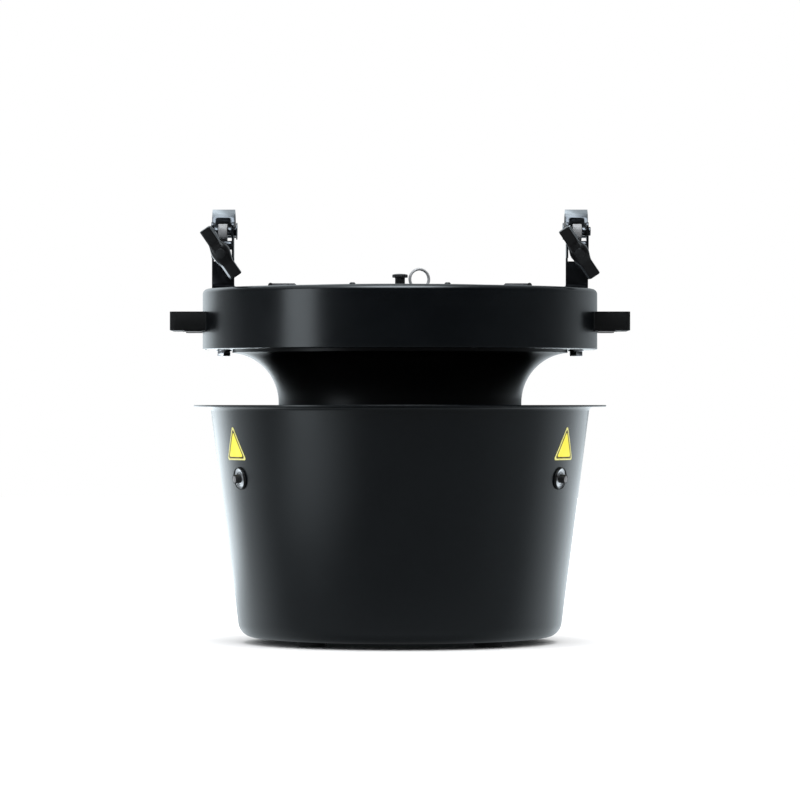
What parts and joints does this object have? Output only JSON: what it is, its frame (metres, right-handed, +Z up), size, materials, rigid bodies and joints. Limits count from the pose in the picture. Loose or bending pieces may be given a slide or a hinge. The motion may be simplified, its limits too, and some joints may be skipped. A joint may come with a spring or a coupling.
{
  "type": "hanging confetti fan",
  "caption": "Truss-hung stage fan that swirls confetti up out of a tapered bucket through the gap under its drum, with hook clamps, side handles and a lift-off bucket.",
  "frame": {"origin": "centre of the four feet's contact plane, on the fan's axis", "axes": "+Z up along the fan's axis, -Y towards the front with the wing knobs, +X to the right, along the truss tube"},
  "size_m": [0.616, 0.556, 0.5838],
  "materials": {
    "black_paint": "satin black paint on spun aluminium",
    "neck_paint": "satin black paint on spun aluminium",
    "clamp_black": "black powder coat on steel",
    "steel": "zinc-plated steel",
    "chrome": "polished chrome",
    "duct_metal": "rolled aluminium",
    "arm_metal": "black powder coat on aluminium",
    "motor_metal": "die-cast aluminium",
    "copper": "enamelled copper wire",
    "black_plastic": "moulded black nylon",
    "knob_plastic": "moulded black nylon, softly grained",
    "grey_flap": "moulded slate-grey plastic",
    "black_rubber": "matt black rubber",
    "board": "green circuit board",
    "glass_fuse": "glass fuse with metal ends"
  },
  "bodies": {
    "head": {"drum_shell": "black_paint", "drum_floor": "black_paint", "floor_screws": "steel", "flared_neck": "neck_paint", "plate_screws": "steel", "fan_duct": "duct_metal", "motor_spider": "arm_metal", "spider_screws": "steel", "motor_stator": "motor_metal", "motor_winding": "copper", "motor_bearings": "steel", "intake_grille": "arm_metal", "top_screws": "clamp_black", "handle_left": "black_plastic", "handle_right": "black_plastic", "handle_plates": "clamp_black", "handle_screws": "steel", "hanger_arms": "arm_metal", "arm_screws": "steel", "clamp_hook_left": "clamp_black", "clamp_hook_right": "clamp_black", "clamp_bolts": "steel", "clamp_washers": "steel", "clamp_nuts": "steel", "clamp_spacers": "steel", "jaw_pins": "steel", "barrel_nuts": "steel", "power_socket": "black_plastic", "data_socket": "black_plastic", "fuse_holder": "black_plastic", "fuse_link": "glass_fuse", "control_case": "duct_metal", "control_board": "board", "safety_eye": "steel", "eye_nut": "steel"},
    "bucket": {"bucket_shell": "black_paint", "lock_housings": "chrome", "lock_gaskets": "black_plastic", "lock_nuts": "chrome", "rest_brackets": "arm_metal", "feet": "black_rubber", "foot_screws": "steel"},
    "fan": {"rotor_can": "motor_metal", "fan_shaft": "steel", "impeller": "black_plastic"},
    "nose_left": {"clamp_nose_left": "steel"},
    "knob_left": {"clamp_screw_left": "steel", "clamp_knob_left": "knob_plastic"},
    "jaw_left": {"jaw_left": "steel"},
    "nose_right": {"clamp_nose_right": "steel"},
    "knob_right": {"clamp_screw_right": "steel", "clamp_knob_right": "knob_plastic"},
    "jaw_right": {"jaw_right": "steel"},
    "power_flap": {"power_flap": "grey_flap"},
    "data_flap": {"data_flap": "grey_flap"},
    "fuse_cap": {"fuse_cap": "black_plastic"},
    "button_left": {"lock_button_left": "black_plastic"},
    "button_right": {"lock_button_right": "black_plastic"},
    "button_back": {"lock_button_back": "black_plastic"}
  },
  "joints": [
    {"name": "bucket_release", "type": "slide", "parent": "head", "child": "bucket", "axis": [0, 0, -1], "range_m": [0, 0.16]},
    {"name": "fan_spin", "type": "hinge", "parent": "head", "child": "fan", "pos_m": [0, 0, 0.415], "axis": [0, 0, 1], "continuous": true},
    {"name": "clamp_nose_left_slide", "type": "slide", "parent": "head", "child": "nose_left", "axis": [0, 0.9842, 0.1771], "range_m": [0, 0.005]},
    {"name": "clamp_knob_left_turn", "type": "hinge", "parent": "nose_left", "child": "knob_left", "pos_m": [-0.2376, -0.0415, 0.534], "axis": [0, 0.9842, 0.1771], "range_deg": [0, 1200]},
    {"name": "jaw_left_swing", "type": "hinge", "parent": "head", "child": "jaw_left", "pos_m": [-0.2376, -0.036, 0.553], "axis": [1, 0, 0], "range_deg": [0, 14.9]},
    {"name": "clamp_nose_right_slide", "type": "slide", "parent": "head", "child": "nose_right", "axis": [0, 0.9842, 0.1771], "range_m": [0, 0.005]},
    {"name": "clamp_knob_right_turn", "type": "hinge", "parent": "nose_right", "child": "knob_right", "pos_m": [0.2376, -0.0415, 0.534], "axis": [0, 0.9842, 0.1771], "range_deg": [0, 1200]},
    {"name": "jaw_right_swing", "type": "hinge", "parent": "head", "child": "jaw_right", "pos_m": [0.2376, -0.036, 0.553], "axis": [1, 0, 0], "range_deg": [0, 14.9]},
    {"name": "power_flap_hinge", "type": "hinge", "parent": "head", "child": "power_flap", "pos_m": [-0.17817, 0.1297, 0.4849], "axis": [0, -1, 0], "range_deg": [0, 110]},
    {"name": "data_flap_hinge", "type": "hinge", "parent": "head", "child": "data_flap", "pos_m": [0.17817, 0.1297, 0.4849], "axis": [0, 1, 0], "range_deg": [0, 110]},
    {"name": "fuse_cap_turn", "type": "hinge", "parent": "head", "child": "fuse_cap", "pos_m": [0, 0.205, 0.49], "axis": [0, 0, 1], "range_deg": [-90, 0]},
    {"name": "lock_button_left_push", "type": "slide", "parent": "bucket", "child": "button_left", "axis": [0.859, 0.4959, 0.1272], "range_m": [0, 0.007]},
    {"name": "lock_button_right_push", "type": "slide", "parent": "bucket", "child": "button_right", "axis": [-0.859, 0.4959, 0.1272], "range_m": [0, 0.007]},
    {"name": "lock_button_back_push", "type": "slide", "parent": "bucket", "child": "button_back", "axis": [0, -0.9919, 0.1272], "range_m": [0, 0.007]}
  ],
  "couplings": [
    {"joint": "clamp_knob_left_turn", "follows": "clamp_nose_left_slide", "rad_per_m": 4188.8},
    {"joint": "jaw_left_swing", "follows": "clamp_nose_left_slide", "rad_per_m": 52.01},
    {"joint": "clamp_knob_right_turn", "follows": "clamp_nose_right_slide", "rad_per_m": 4188.8},
    {"joint": "jaw_right_swing", "follows": "clamp_nose_right_slide", "rad_per_m": 52.01}
  ]
}
